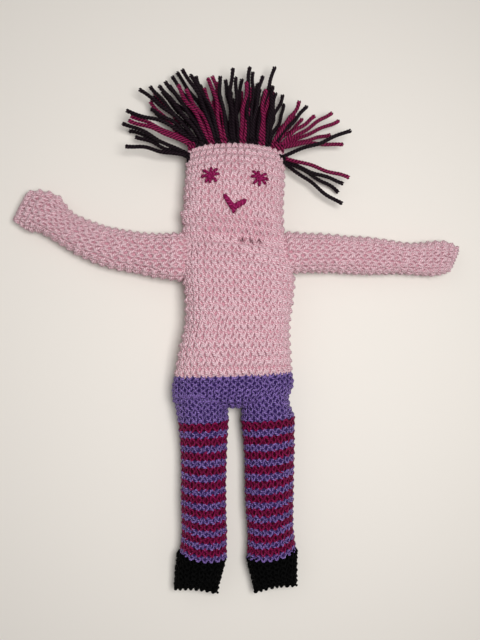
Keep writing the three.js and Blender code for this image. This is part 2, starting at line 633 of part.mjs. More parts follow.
for (const side of ["left", "right"]) {
  const isLeft = side === "left";
  const out = isLeft ? 1 : -1;

  const line = isLeft ? LEFT_ARM_LINE : RIGHT_ARM_LINE;
  const arm = armStations(side, line, isLeft ? LEFT_ARM_WIDTH : RIGHT_ARM_WIDTH);
  const sleeve = stuffedLimb(arm, ARM_OPENING);
  put(side + "_arm_cover", sleeve.cover, "pink");
  put(side + "_arm_stuffing", sleeve.stuffing, "stuffing");
  put(side + "_hand_seam", endSeam(arm), "pink");

  const ballR = SHOULDER_BALL_R + JOINT_GAP / 2;
  const [sx, sy, sz] = shoulders[side];
  const shoulderSeam = overcast(LIMB_STITCHES, (turn, bite) => {
    const a = seamAngle(ARM_OPENING[0] + 2 * SEWING_YARN, ballR) + bite;
    const ring = ballR * Math.sin(a);
    return [sx - out * ballR * Math.cos(a), sy + ring * Math.cos(turn), sz + ring * Math.sin(turn)];
  });
  put(side + "_shoulder_seam", shoulderSeam, "pink");

  const legWidth = isLeft ? LEFT_LEG_WIDTH : RIGHT_LEG_WIDTH;
  const leg = legStations(side, legWidth, isLeft ? LEFT_TOE_OUT : RIGHT_TOE_OUT);
  const stocking = stuffedLimb(leg, HIP_OPENING);
  const half = CLEARANCE / 2;
  put(side + "_shorts_leg", stocking.cover.intersect(box(STRIPES_Y + half, BIG)), "purple");
  put(side + "_leg_cover", stocking.cover.intersect(box(ANKLE_Y + half, STRIPES_Y - half)), "stripes");
  put(side + "_foot_cover", stocking.cover.intersect(box(-BIG, ANKLE_Y - half)), "black");
  put(side + "_leg_stuffing", stocking.stuffing, "stuffing");
  put(side + "_toe_seam", endSeam(leg), "black");

  const hipSeamR = HIP_ROLL_R + JOINT_GAP / 2;
  const [hx, hy, hz] = hips[side];
  const hipSeam = overcast(LIMB_STITCHES, (turn, bite) => {
    const a = Math.sin(turn) * (seamAngle(HIP_OPENING[1], hipSeamR) + bite);
    const x = Math.cos(turn) * (HIP_OPENING[0] + FABRIC / 2 + bite * hipSeamR);
    return [hx + x, hy + hipSeamR * Math.cos(a), hz + hipSeamR * Math.sin(a)];
  });
  put(side + "_hip_seam", hipSeam, "purple");
}

export default doll;
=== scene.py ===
# %% [markdown]
# # A knitted doll
# The doll is stuffed, knitted in thick yarn and laid on its back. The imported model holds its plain
# solids and its joints. Here each knitted cover is made again from its own yarn, loop by loop, because
# the looped ridges are what the eye meets first, and a flat picture of loops would not catch the light.

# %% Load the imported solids
import math
from collections import namedtuple
import bpy
import numpy as np
from mathutils import Matrix, Vector
from mathutils.bvhtree import BVHTree


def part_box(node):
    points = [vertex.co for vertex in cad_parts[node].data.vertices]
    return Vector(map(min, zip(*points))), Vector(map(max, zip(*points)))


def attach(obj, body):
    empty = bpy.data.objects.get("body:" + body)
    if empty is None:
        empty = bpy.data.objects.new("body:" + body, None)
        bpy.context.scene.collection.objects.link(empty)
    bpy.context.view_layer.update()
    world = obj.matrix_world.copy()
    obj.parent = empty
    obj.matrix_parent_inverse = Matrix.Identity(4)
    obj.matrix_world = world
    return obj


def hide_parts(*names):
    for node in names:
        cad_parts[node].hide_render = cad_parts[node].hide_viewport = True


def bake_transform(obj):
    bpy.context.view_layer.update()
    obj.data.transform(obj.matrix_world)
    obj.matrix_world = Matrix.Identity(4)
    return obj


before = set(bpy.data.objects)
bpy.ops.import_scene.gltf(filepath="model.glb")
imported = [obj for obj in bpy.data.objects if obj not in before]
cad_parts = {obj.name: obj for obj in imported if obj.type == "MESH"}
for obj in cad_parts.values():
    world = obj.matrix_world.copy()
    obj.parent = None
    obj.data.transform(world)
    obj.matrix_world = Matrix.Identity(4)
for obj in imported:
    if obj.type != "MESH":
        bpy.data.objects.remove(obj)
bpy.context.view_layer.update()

MM = 0.001

# %% [markdown]
# ## The camera
# The picture was taken from above, about half a metre over the floor, with the lens a little to one side.
# A camera that looks almost straight down has no natural "up", so its axes are set one by one: right
# follows the floor's X axis, and up is what is left.

# %% Camera
EYE = Vector((-27.4, -39.0, 466.0)) * MM
AIM = Vector((4.3, -10.0, 0.0)) * MM
LENS = 38.25

back = (EYE - AIM).normalized()
right = (Vector((1, 0, 0)) - back * back.x).normalized()
up = back.cross(right)
camera = bpy.data.objects.new("camera", bpy.data.cameras.new("camera"))
camera.data.lens = LENS
camera.matrix_world = Matrix.Translation(EYE) @ Matrix((right, up, back)).transposed().to_4x4()
bpy.context.scene.collection.objects.link(camera)
bpy.context.scene.camera = camera
print("camera", round(EYE.z / MM), "mm above the floor")

# %% [markdown]
# ## Meshes from arrays
# A cover has tens of thousands of small faces, so meshes are filled from whole arrays instead of face by
# face. Each one carries two maps: "OFBake" gives every face its own patch for baking, and "lay" runs along
# the yarn and round it, which is what the yarn's finish is drawn on. "height" says how far out of the
# cloth a point lies, from -1 in the gaps to 1 on the crests, and from it the finish paints the gaps darker
# and the crests paler, as painted shade and painted highlight.

# %% Helper: a mesh object from points and four-sided faces
def mesh_object(name, points, quads, patches, lay, height, shades, materials):
    mesh = bpy.data.meshes.new(name)
    mesh.vertices.add(len(points))
    mesh.vertices.foreach_set("co", (np.asarray(points) * MM).astype(np.float32).ravel())
    mesh.loops.add(quads.size)
    mesh.loops.foreach_set("vertex_index", quads.astype(np.int32).ravel())
    mesh.polygons.add(len(quads))
    mesh.polygons.foreach_set("loop_start", np.arange(0, quads.size, 4, dtype=np.int32))
    mesh.polygons.foreach_set("loop_total", np.full(len(quads), 4, np.int32))
    mesh.polygons.foreach_set("material_index", shades.astype(np.int32))
    mesh.polygons.foreach_set("use_smooth", np.ones(len(quads), bool))
    mesh.update(calc_edges=True)
    for layer, values in (("OFBake", patches), ("lay", lay)):
        mesh.uv_layers.new(name=layer).uv.foreach_set("vector", values.astype(np.float32).ravel())
    attribute = mesh.attributes.new("height", "FLOAT", "POINT")
    attribute.data.foreach_set("value", height.astype(np.float32))
    for material in materials:
        mesh.materials.append(material)
    piece = bpy.data.objects.new(name, mesh)
    bpy.context.scene.collection.objects.link(piece)
    return piece


# %% [markdown]
# ## Yarn as tubes
# Yarn is a round tube along a line. Each ring of the tube stands across the line, turned by an "out"
# direction so that it doesn't spin. The two maps come from the ring and the side that a face belongs to.

# %% Helper: tubes along many lines at once
def lines_to_tubes(lines, outs, radii, sides, closed):
    count, steps = lines.shape[:2]
    if closed:
        tangents = np.roll(lines, -1, 1) - np.roll(lines, 1, 1)
    else:
        tangents = np.gradient(lines, axis=1)
    tangents /= np.linalg.norm(tangents, axis=2, keepdims=True)
    across = np.cross(outs, tangents)
    across /= np.linalg.norm(across, axis=2, keepdims=True)
    outs = np.cross(tangents, across)
    turn = 2 * math.pi * np.arange(sides) / sides
    ring = np.cos(turn)[:, None] * across[:, :, None] + np.sin(turn)[:, None] * outs[:, :, None]
    points = lines[:, :, None] + ring * np.broadcast_to(radii, (count, steps))[:, :, None, None]
    spans = steps if closed else steps - 1
    line, step, side = np.meshgrid(np.arange(count), np.arange(spans), np.arange(sides), indexing="ij")
    corner = [(0, 0), (0, 1), (1, 1), (1, 0)]
    quads = np.stack([
        (line * steps + (step + a) % steps) * sides + (side + b) % sides for a, b in corner
    ], -1).reshape(-1, 4)
    along = np.stack([step + a for a, b in corner], -1).reshape(-1, 4)
    about = np.stack([side + b for a, b in corner], -1).reshape(-1, 4) / sides
    patches = np.stack([along / spans, (np.repeat(line.ravel(), 4).reshape(-1, 4) + about) / count], -1)
    return points, quads, patches, along, about, np.repeat(np.arange(count), spans * sides)


# %% [markdown]
# ## Stuffed forms
# Each cover follows a stuffed form: rings round a centre line, squarish like a filled bag, and flat
# underneath where the doll lies. A lofted surface could be drawn by hand; here a few stations measured on the
# photograph give the line, the half width and the lowest and highest point, and a smooth curve goes through
# them, so that a size is easy to change. Each fabric has a gauge, in mm: the height of a course, the yarn's
# radius, the turns of its twist in a stitch, how far loops lean out and draw in, how many courses the front
# loops of each shade reach over, and how far back the lining lies. Yarn stands out of the cloth by the
# gauge's skin, so the form is that much smaller than the outline.

# %% Helper: a stuffed form from a few stations
STITCH = 4.6
LOOP = 1.5
OUTLINE_POINTS = 481
END_CAP = 0.02
Gauge = namedtuple("Gauge", "row yarn twist lift hook reach backing")
FINE = Gauge(row=2.0, yarn=0.72, twist=5.0, lift=0.5, hook=0.25, reach=(LOOP,), backing=0.7)


def skin(gauge):
    return gauge.yarn + gauge.lift


def curve_through(keys, values, at):
    slopes = np.gradient(values, keys, axis=0)
    i = np.clip(np.searchsorted(keys, at, side="right") - 1, 0, len(keys) - 2)
    span = (keys[i + 1] - keys[i])[:, None]
    t = ((at - keys[i]) / span[:, 0])[:, None]
    rise = values[i + 1] - values[i]
    bend_in, bend_out = slopes[i] * span - rise, rise - slopes[i + 1] * span
    return values[i] + rise * t + t * (1 - t) * (bend_in * (1 - t) + bend_out * t)


def stuffed_form(
        stations, columns, power, upright=True, tilt=(0, 0), arch=(0, 0), rows=None, ease=0, gauge=FINE):
    """Rings of points in mm along stations of (x, y, half width, low, high).
    Tilt and arch slant and bow the first and the last ring, and those between take their share.
    Ease spaces the first rows wider and the last ones closer."""
    table = np.array(stations, float)
    thick = (table[:, 4:] - table[:, 3:4]) / 2
    along = np.linalg.norm(np.diff(np.hstack([table[:, :2], thick]), axis=0), axis=1)
    along = np.concatenate([[0], np.cumsum(along)])
    rows = rows or max(2, round(along[-1] / gauge.row))
    at = np.linspace(0, 1, rows + 1)
    at = along[-1] * (at + ease * at * (1 - at))
    x, y, half, low, high = curve_through(along, table, at).T
    ahead = np.gradient(np.stack([0 * x if upright else x, y], 1), axis=0)
    ahead /= np.linalg.norm(ahead, axis=1, keepdims=True)
    turn = np.linspace(0, 2 * math.pi, OUTLINE_POINTS)
    square = lambda wave: np.sign(wave) * np.abs(wave) ** (2 / power)
    rings = np.zeros((rows + 1, columns, 3))
    for i in range(rows + 1):
        across = (half[i] - skin(gauge)) * square(np.cos(turn))
        height = ((high[i] - low[i]) / 2 - skin(gauge)) * square(np.sin(turn))
        run = np.concatenate([[0], np.cumsum(np.hypot(np.diff(across), np.diff(height)))])
        even = np.linspace(0, run[-1], columns, endpoint=False)
        across, height = np.interp(even, run, across), np.interp(even, run, height)
        share = across / max(half[i] - skin(gauge), 1e-6)
        slant, bow = np.array([tilt, arch], float) @ (1 - at[i] / at[-1], at[i] / at[-1])
        onward = slant * share + bow * (1 - share ** 2)
        rings[i, :, 0] = x[i] + ahead[i, 1] * across + ahead[i, 0] * onward
        rings[i, :, 1] = y[i] - ahead[i, 0] * across + ahead[i, 1] * onward
        rings[i, :, 2] = (high[i] + low[i]) / 2 + height
    return rings


def outward(rings):
    """Unit normals of a form, out of the stuffing."""
    along = np.gradient(rings, axis=0)
    around = np.roll(rings, -1, 1) - np.roll(rings, 1, 1)
    normals = np.cross(along, around)
    return normals / np.maximum(np.linalg.norm(normals, axis=2, keepdims=True), 1e-9)


def close_ends(rings):
    """The rings with a tiny one added at each end, which closes the form."""
    middle = rings.mean(1, keepdims=True)
    first = middle[:1] + END_CAP * (rings[:1] - middle[:1])
    last = middle[-1:] + END_CAP * (rings[-1:] - middle[-1:])
    return np.concatenate([first, rings, last])


def form_cells(deep, wide):
    """Four-sided faces over rings of points, and each corner's share round and along the form."""
    i, k = np.meshgrid(np.arange(deep - 1), np.arange(wide), indexing="ij")
    corner = [(0, 0), (1, 0), (1, 1), (0, 1)]
    cells = np.stack([(i + a) * wide + (k + b) % wide for a, b in corner], -1).reshape(-1, 4)
    around = np.stack([(k + b) / wide for a, b in corner], -1).reshape(-1, 4)
    along = np.stack([(i + a) / (deep - 1) for a, b in corner], -1).reshape(-1, 4)
    return cells, np.stack([around, along], -1)


# %% [markdown]
# ## Swelling under the stuffing
# A stuffed cover is pushed out from inside and held where it is sewn, so it crowns between its seams. That
# could be drawn into the stations, but a cloth simulation finds it by itself: the form starts a little slack,
# its two ends are pinned, and air pressure stands for the filling. It runs at ten times the size, because
# cloth this small would hardly move. How far a point may go is capped, and the underside stays on the floor.

# %% Helper: let a form swell
SLACK_IN = 0.5
HELD_ROWS = 4
SWELL_CAP = 1.2
SWELL_FRAMES = 20
SWELL_STEPS = 3
SWELL_PRESSURE = 4.0
SWELL_MASS = 0.004
SWELL_STRETCH = 5.0
SWELL_SCALE = 0.01


def swell(rings):
    deep, wide = rings.shape[0], rings.shape[1] // 2
    held = np.minimum(np.arange(deep), np.arange(deep)[::-1])[:, None, None] / HELD_ROWS
    start = rings - outward(rings) * SLACK_IN * np.clip(held, 0, 1)
    coarse = start[:, ::2]
    faces = form_cells(deep, wide)[0].tolist()
    faces += [list(range(wide)), list(range((deep - 1) * wide, deep * wide))[::-1]]
    mesh = bpy.data.meshes.new("cover")
    mesh.from_pydata((coarse.reshape(-1, 3) * SWELL_SCALE).tolist(), [], faces)
    cover = bpy.data.objects.new("cover", mesh)
    bpy.context.scene.collection.objects.link(cover)
    ends = cover.vertex_groups.new(name="sewn ends")
    ends.add(list(range(wide)) + list(range((deep - 1) * wide, deep * wide)), 1.0, "REPLACE")
    cloth = cover.modifiers.new("cloth", "CLOTH")
    cloth.settings.vertex_group_mass = ends.name
    cloth.settings.mass = SWELL_MASS
    cloth.settings.quality = SWELL_STEPS
    cloth.settings.tension_stiffness = SWELL_STRETCH
    cloth.settings.compression_stiffness = SWELL_STRETCH
    cloth.settings.shear_stiffness = SWELL_STRETCH
    cloth.settings.use_pressure = True
    cloth.settings.uniform_pressure_force = SWELL_PRESSURE
    cloth.settings.effector_weights.gravity = 0
    cloth.collision_settings.use_collision = False
    cloth.point_cache.frame_end = SWELL_FRAMES
    for step in range(1, SWELL_FRAMES + 1):
        bpy.context.scene.frame_set(step)
    swollen = cover.evaluated_get(bpy.context.evaluated_depsgraph_get()).data
    places = np.zeros(deep * wide * 3, np.float32)
    swollen.vertices.foreach_get("co", places)
    moved = np.repeat(places.reshape(coarse.shape) / SWELL_SCALE - coarse, 2, axis=1)
    moved[:, 1::2] = (moved[:, ::2] + np.roll(moved[:, ::2], -1, 1)) / 2
    bpy.data.objects.remove(cover)
    bpy.data.meshes.remove(mesh)
    bpy.context.scene.frame_set(1)
    far = np.linalg.norm(moved, axis=2, keepdims=True)
    swollen = start + moved * np.minimum(1, SWELL_CAP / np.maximum(far, 1e-9))
    swollen[..., 2] = np.maximum(swollen[..., 2], rings[..., 2].min(1, keepdims=True))
    print("swelled", round(float(far.mean()), 2), "mm on average,", round(float(far.max()), 2), "at most")
    return swollen


# %% [markdown]
# ## Garter stitch
# The doll is knitted in garter stitch. Every course of yarn is a wave of loops, shifted half a stitch against
# the course below, in whose loops it hangs. Courses come in pairs: one leans out at its foot and in at its
# head, the next the other way round, so where the two meet out in front they build a ridge. Bump on a smooth
# bag would look flat at the edges, so one formula gives the wave as real yarn, laid on the form by its row
# and stitch number. Hand knitting is never even, so slow random waves go along each course.

# %% Helper: places on a form, and uneven hands
STEPS = 10
chance = np.random.default_rng(11)


def on_form(grid, row, stitch):
    """Values of a form's grid at row and stitch shares from 0 to 1."""
    rows, columns = grid.shape[0] - 1, grid.shape[1]
    r, c = np.clip(row, 0, 1) * rows, (stitch % 1.0) * columns
    i, k = np.minimum(r.astype(int), rows - 1), c.astype(int) % columns
    fr, fc, k2 = (r - i)[..., None], (c - np.floor(c))[..., None], (k + 1) % columns
    low = grid[i, k] * (1 - fc) + grid[i, k2] * fc
    high = grid[i + 1, k] * (1 - fc) + grid[i + 1, k2] * fc
    return low * (1 - fr) + high * fr


def uneven(rows, stitches):
    """A slow random wave along each course, so that no two loops are alike."""
    knots = chance.normal(0, 1, (rows, stitches))
    t = np.arange(stitches * STEPS) / STEPS
    i, f = t.astype(int), t - np.floor(t)
    f = f * f * (3 - 2 * f)
    return knots[:, i] * (1 - f) + knots[:, (i + 1) % stitches] * f


# %% [markdown]
# ## A knitted cover
# A cover is all of its courses as closed tubes of yarn. Behind them lies a thin lining of the same yarn, in
# its darkest tone as painted shade, which on the real doll is the back of the fabric and keeps the filling
# out of sight. Loops in front may be shorter than those behind, which closes the ridges up. A loose stitch is
# a small pit: the yarn round it sinks and thins, and the lining goes deeper there and is painted nearly
# black, a painted shadow in the hole.

# %% Helper: knit a cover on a form
SIDES = 6
SLACK = 0.1
DRIFT = 0.04
HOLE = 2.0
HOLE_THINS = 0.9
HOLE_SINKS = 2
COURSE_SHIFT = 0.37
YARN_SHARE = 0.92


def knit(name, rings, materials, shade_of=lambda course, courses: 0, first=0, holes=(), gauge=FINE):
    rows = len(rings) - 1
    girth = np.linalg.norm(np.diff(rings, axis=1, append=rings[:, :1]), axis=2).sum(1)
    stitches = round(np.median(girth) / STITCH)
    steps = stitches * STEPS
    course = np.arange(rows)[:, None]
    t = 2 * math.pi * np.arange(steps)[None, :] / STEPS
    side = np.where((course + first) % 2 == 0, 1.0, -1.0)
    drift = np.cumsum(chance.normal(0, DRIFT, (rows, 1)), 0)
    stitch = t / (2 * math.pi) + course % 2 / 2 + SLACK * uneven(rows, stitches) + drift
    shade = np.array([shade_of(j, rows) for j in range(rows)])
    reach = np.where(side * np.cos(t) > 0, np.array(gauge.reach)[shade][:, None], LOOP)
    row = course + 0.5 - reach / 2 * np.cos(t) * (1 + SLACK * uneven(rows, stitches))
    out = (gauge.lift * side - gauge.hook) * np.cos(t) * (1 + SLACK * uneven(rows, stitches))
    normals = outward(rings)
    places = on_form(rings, row / rows, stitch / stitches)
    outs = on_form(normals, row / rows, stitch / stitches)
    thick = gauge.yarn * (1 + SLACK * uneven(rows, stitches))
    # Painted shade: the lining takes the gaps' height and tone; in a hole it sinks and is painted nearly
    # black.
    cloth, sunk = rings - normals * gauge.backing, np.full(rings.shape[:2], -1.0)
    for x, y, depth in holes:
        away = np.where(normals[..., 2] > 0, np.hypot(rings[..., 0] - x, rings[..., 1] - y), np.inf)
        pit = np.unravel_index(away.argmin(), away.shape)
        near = depth * np.exp(-np.sum((places - rings[pit]) ** 2, -1) / HOLE ** 2)
        out, thick = out - near, thick * (1 - HOLE_THINS * near)
        cloth[pit] -= normals[pit] * HOLE_SINKS * depth
        sunk[pit] -= HOLE_SINKS * depth
    points, quads, patches, along, about, of_course = lines_to_tubes(
        places + outs * out[..., None], outs, thick, SIDES, True)
    points[..., 2] = np.maximum(points[..., 2], 0)
    # Painted highlight and shade: this height paints the yarn's tops and crests paler and its undersides
    # darker.
    crest = out[..., None] + thick[..., None] * np.sin(2 * math.pi * np.arange(SIDES) / SIDES)
    lay = np.stack([along / STEPS * gauge.twist, about + COURSE_SHIFT * of_course[:, None]], -1)
    shades = shade[of_course]
    cloth = close_ends(cloth)
    deep, wide = cloth.shape[:2]
    cells, maps = form_cells(deep, wide)
    cell_course = np.clip(np.repeat(np.arange(deep - 1), wide) - 1, 0, rows - 1)
    yarn_points = points.reshape(-1, 3)
    piece = mesh_object(
        name,
        np.concatenate([yarn_points, cloth.reshape(-1, 3)]),
        np.concatenate([quads, cells + len(yarn_points)]),
        np.concatenate([patches * (1, YARN_SHARE), maps * (1, 1 - YARN_SHARE) + (0, YARN_SHARE)]),
        np.concatenate([lay, maps * (stitches, 1)]),
        np.concatenate([crest.ravel() / skin(gauge), sunk[0], sunk.ravel(), sunk[-1]]),
        np.concatenate([shades, shade[cell_course]]),
        materials)
    print(name, rows, "courses of", stitches, "stitches,", len(piece.data.polygons), "faces")
    return piece


# %% [markdown]
# ## Yarn finishes
# The yarn is soft acrylic of a few plies. Its finish is drawn on the "lay" map: a slanting wave makes the
# plies, painted paler on their crests and darker in their grooves as painted highlight and painted shade,
# and noise along the yarn makes lighter and darker fibres. Crests of the loops are painted paler, a painted
# highlight, and gaps darker, painted shade where light sinks into the fabric. Roughness and bump follow the
# same plies. An image could do this, but nodes stay sharp at any distance and need no file.

# %% Helper: a yarn material
PLIES = 3
# A painted shadow, nearly black, for the deepest pits, and the height at which it starts to show.
PIT_SHADOW = (0.01, 0.004, 0.005)
PIT_SHADOW_FADE = (-0.5, -0.6)
FIBRE_SCALE = 2.3
FIBRE_DETAIL = 3.0
FIBRE_BUMP = 0.6
MID_LEVEL = 0.44
CREST_GLOSS = 0.12
SUNK_ROUGH = 0.6
BUMP_STRENGTH = 0.9
BUMP_DEPTH = 0.35 * MM


def yarn_material(name, deep, mid, pale, rough, shine, fleck=0.5, plies=0.6, depth=0.42):
    """One yarn in three tones: deep serves mostly as painted shade and pale as painted highlight, and the
    fibres move between all three. Fleck, plies and depth: how far fibres, twist and height change the tone.
    """
    material = bpy.data.materials.new(name)
    material.use_nodes = True
    nodes, links = material.node_tree.nodes, material.node_tree.links
    shader = nodes["Principled BSDF"]

    def sums(kind, *values, clamp=False):
        node = nodes.new("ShaderNodeMath")
        node.operation = kind
        node.use_clamp = clamp
        for socket, value in zip(node.inputs, values):
            if isinstance(value, (int, float)):
                socket.default_value = value
            else:
                links.new(value, socket)
        return node.outputs[0]

    lay = nodes.new("ShaderNodeUVMap")
    lay.uv_map = "lay"
    split = nodes.new("ShaderNodeSeparateXYZ")
    links.new(lay.outputs["UV"], split.inputs[0])
    slant = sums("ADD", split.outputs["X"], sums("MULTIPLY", split.outputs["Y"], PLIES))
    ply = sums("MULTIPLY_ADD", sums("SINE", sums("MULTIPLY", slant, 2 * math.pi)), 0.5, 0.5)
    height = nodes.new("ShaderNodeAttribute")
    height.attribute_name = "height"
    fibres = nodes.new("ShaderNodeTexNoise")
    fibres.inputs["Scale"].default_value = FIBRE_SCALE
    fibres.inputs["Detail"].default_value = FIBRE_DETAIL
    links.new(lay.outputs["UV"], fibres.inputs["Vector"])
    # Painted shade and highlight: gaps and the lining turn darker and loop crests paler with the height.
    level = sums("MULTIPLY_ADD", height.outputs["Fac"], depth, MID_LEVEL)
    level = sums("ADD", level, sums("MULTIPLY", sums("SUBTRACT", fibres.outputs["Fac"], 0.5), fleck))
    # Painted highlight on the ply crests and painted shade in the grooves between them.
    level = sums("ADD", level, sums("MULTIPLY", sums("SUBTRACT", ply, 0.5), plies), clamp=True)
    ramp = nodes.new("ShaderNodeValToRGB")
    ramp.color_ramp.elements[0].color = (*deep, 1)
    ramp.color_ramp.elements[1].color = (*pale, 1)
    ramp.color_ramp.elements.new(0.5).color = (*mid, 1)
    links.new(level, ramp.inputs["Fac"])
    # Painted shadow: the deepest points, chiefly the sunk lining in the pits, turn nearly black.
    pit = nodes.new("ShaderNodeMix")
    pit.data_type = "RGBA"
    pit.inputs["B"].default_value = (*PIT_SHADOW, 1)
    links.new(sums("MULTIPLY_ADD", height.outputs["Fac"], *PIT_SHADOW_FADE, clamp=True), pit.inputs["Factor"])
    links.new(ramp.outputs["Color"], pit.inputs["A"])
    links.new(pit.outputs["Result"], shader.inputs["Base Color"])
    sunk = sums("MULTIPLY", height.outputs["Fac"], -SUNK_ROUGH, clamp=True)
    worn = sums("MULTIPLY_ADD", ply, -CREST_GLOSS, rough)
    links.new(sums("ADD", worn, sunk, clamp=True), shader.inputs["Roughness"])
    shader.inputs["Specular IOR Level"].default_value = shine
    bump = nodes.new("ShaderNodeBump")
    bump.inputs["Strength"].default_value = BUMP_STRENGTH
    bump.inputs["Distance"].default_value = BUMP_DEPTH
    links.new(sums("ADD", ply, sums("MULTIPLY", fibres.outputs["Fac"], FIBRE_BUMP)), bump.inputs["Height"])
    links.new(bump.outputs["Normal"], shader.inputs["Normal"])
    return material


def tone(red, green, blue):
    """A colour as the eye names it, from 0 to 255, as the linear light that a shader takes."""
    part = np.array([red, green, blue]) / 255
    return tuple(np.where(part <= 0.04045, part / 12.92, ((part + 0.055) / 1.055) ** 2.4))


# Each yarn's first tone is mostly painted shade for the gaps and its last mostly painted highlight for
# crests.
pink = yarn_material(
    "pink yarn", tone(190, 134, 147), tone(201, 148, 160), tone(228, 199, 205),
    0.5, 0.5, fleck=1.2, plies=1.1, depth=0.5)
purple = yarn_material(
    "purple yarn", tone(36, 12, 74), tone(42, 17, 80), tone(142, 112, 186),
    0.4, 0.5, fleck=1.1, plies=0.8, depth=0.5)
magenta = yarn_material(
    "magenta yarn", tone(44, 1, 14), tone(90, 3, 42), tone(142, 12, 78),
    0.55, 0.15, fleck=0.6)
black = yarn_material(
    "black yarn", tone(2, 2, 2), tone(4, 4, 4), tone(9, 9, 9),
    0.75, 0.04, fleck=0.5)
black_hair = yarn_material(
    "black twisted yarn", tone(3, 2, 3), tone(10, 5, 8), tone(36, 22, 31),
    0.6, 0.1, fleck=0.5, plies=0.0, depth=0.75)
magenta_hair = yarn_material(
    "magenta twisted yarn", tone(26, 1, 11), tone(66, 4, 30), tone(146, 30, 82),
    0.6, 0.14, fleck=0.5, plies=0.0, depth=0.75)
face_magenta = yarn_material(
    "magenta sewing yarn", tone(86, 4, 40), tone(128, 11, 72), tone(156, 34, 96),
    0.65, 0.15, fleck=0.5)
print("yarns", [m.name for m in bpy.data.materials if "yarn" in m.name])

# %% [markdown]
# ## Torso and shorts
# The torso is a plain bag, a little wider at the waist, knitted from the waist up in soft pink yarn with tall
# courses. The shorts go on below in purple, flatter and closer, and close between the legs. Both could be one
# form with two colours, but the real edge between them is a course of its own, so they are two covers.

# %% Knit the torso and the top of the shorts
BODY_POWER = 2.5
GRID = 2
TORSO = [
    (0.4, 40.7, 36.6, 0.3, 31.0), (1.0, 34.0, 37.2, 0.1, 33.4), (2.2, 18.0, 39.2, 0.0, 36.5),
    (2.5, 2.0, 37.9, 0.0, 37.6), (1.1, -16.0, 37.0, 0.0, 38.0), (-0.5, -31.0, 38.8, 0.0, 37.5),
    (-1.6, -47.5, 39.4, 0.2, 35.4),
]
SHORTS = [
    (-1.6, -46.5, 39.0, 0.2, 35.0), (-1.6, -55.0, 41.0, 0.0, 33.4), (-2.6, -60.0, 39.8, 0.2, 32.4),
    (-3.3, -64.0, 38.6, 0.8, 30.4), (-2.6, -66.4, 37.6, 2.4, 27.0), (-2.2, -67.8, 36.0, 6.0, 22.0),
    (-2.2, -68.0, 34.0, 11.0, 17.0),
]
NECK_TILT = -2.7
# Each open stitch shows a lining painted nearly black, a painted shadow in the hole.
NECK_HOLES = [(4.0, 40.6, 1.0), (10.5, 39.7, 1.0), (15.6, 39.1, 1.0)]
SOFT = Gauge(row=2.9, yarn=1.14, twist=8.0, lift=0.85, hook=0.25, reach=(1.25,), backing=0.2)
NET = Gauge(row=2.0, yarn=0.74, twist=5.0, lift=0.5, hook=0, reach=(1.1,), backing=0.2)
WAIST_TILT = 1.3
WAIST_BOW = 0.8


def columns_for(stations):
    widest = max(2 * s[2] + s[4] - s[3] for s in stations)
    return GRID * 4 * round(2 * widest / STITCH / 4)


torso_rings = swell(stuffed_form(
    TORSO, columns_for(TORSO), BODY_POWER, tilt=(NECK_TILT, WAIST_TILT), arch=(0, WAIST_BOW), gauge=SOFT))
torso = knit("torso_knit", torso_rings, [pink], first=len(torso_rings), holes=NECK_HOLES, gauge=SOFT)
shorts_rings = swell(stuffed_form(
    SHORTS, columns_for(SHORTS), BODY_POWER, tilt=(WAIST_TILT, 0), arch=(WAIST_BOW, 0), gauge=NET))
shorts = knit("shorts_knit", shorts_rings, [purple], first=1, gauge=NET)
for piece, node, slot in ((torso, "torso_cover", "pink_knit"), (shorts, "shorts_cover", "purple_knit")):
    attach(piece, "torso")
    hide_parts(node)

# %% [markdown]
# ## Head
# The head goes on from the torso at the same width, swells at the cheeks and flattens to a straight edge at
# the crown, where the hair is tied in. Two courses above the neck are loose, and three stitches at the neck
# have opened.

# %% Knit the head
HEAD = [
    (0.4, 40.2, 36.6, 0.3, 31.0), (0.0, 45.0, 36.0, 0.2, 33.6), (-0.6, 50.5, 35.2, 0.2, 33.0),
    (-1.9, 55.5, 36.3, 0.2, 33.2), (-1.0, 61.0, 35.2, 0.0, 34.0), (-0.7, 70.0, 35.1, 0.0, 34.8),
    (0.6, 88.0, 34.6, 0.6, 33.0), (0.9, 97.0, 34.1, 4.5, 28.0), (1.0, 102.5, 33.6, 10.0, 22.5),
    (1.0, 105.0, 33.2, 13.0, 19.2),
]
# Loose stitches are pits whose lining is painted darker, a painted shadow.
LOOSE_COURSES = [((-15.0, 52.4), (20.2, 49.5)), ((-20.2, 48.6), (26.2, 44.0))]
LOOSE = 0.55
HEAD_ARCH = 4.0

head_rings = swell(stuffed_form(
    HEAD, columns_for(HEAD), BODY_POWER, tilt=(NECK_TILT, 0), arch=(0, HEAD_ARCH), gauge=SOFT))
pits = list(NECK_HOLES)
for start, end in LOOSE_COURSES:
    count = round((end[0] - start[0]) / STITCH) + 1
    pits += [(x, y, LOOSE) for x, y in np.linspace(start, end, count)]
head = knit("head_knit", head_rings, [pink], holes=pits, gauge=SOFT)
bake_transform(head)
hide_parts("head_cover")

# %% [markdown]
# ## Arms
# The arms are tubes sewn into the torso's sides, in the same pink yarn knitted a little closer. The doll's
# left arm lies straight out; its right one lifts towards the hand. Both start inside the torso, so that no
# gap opens when they swing.

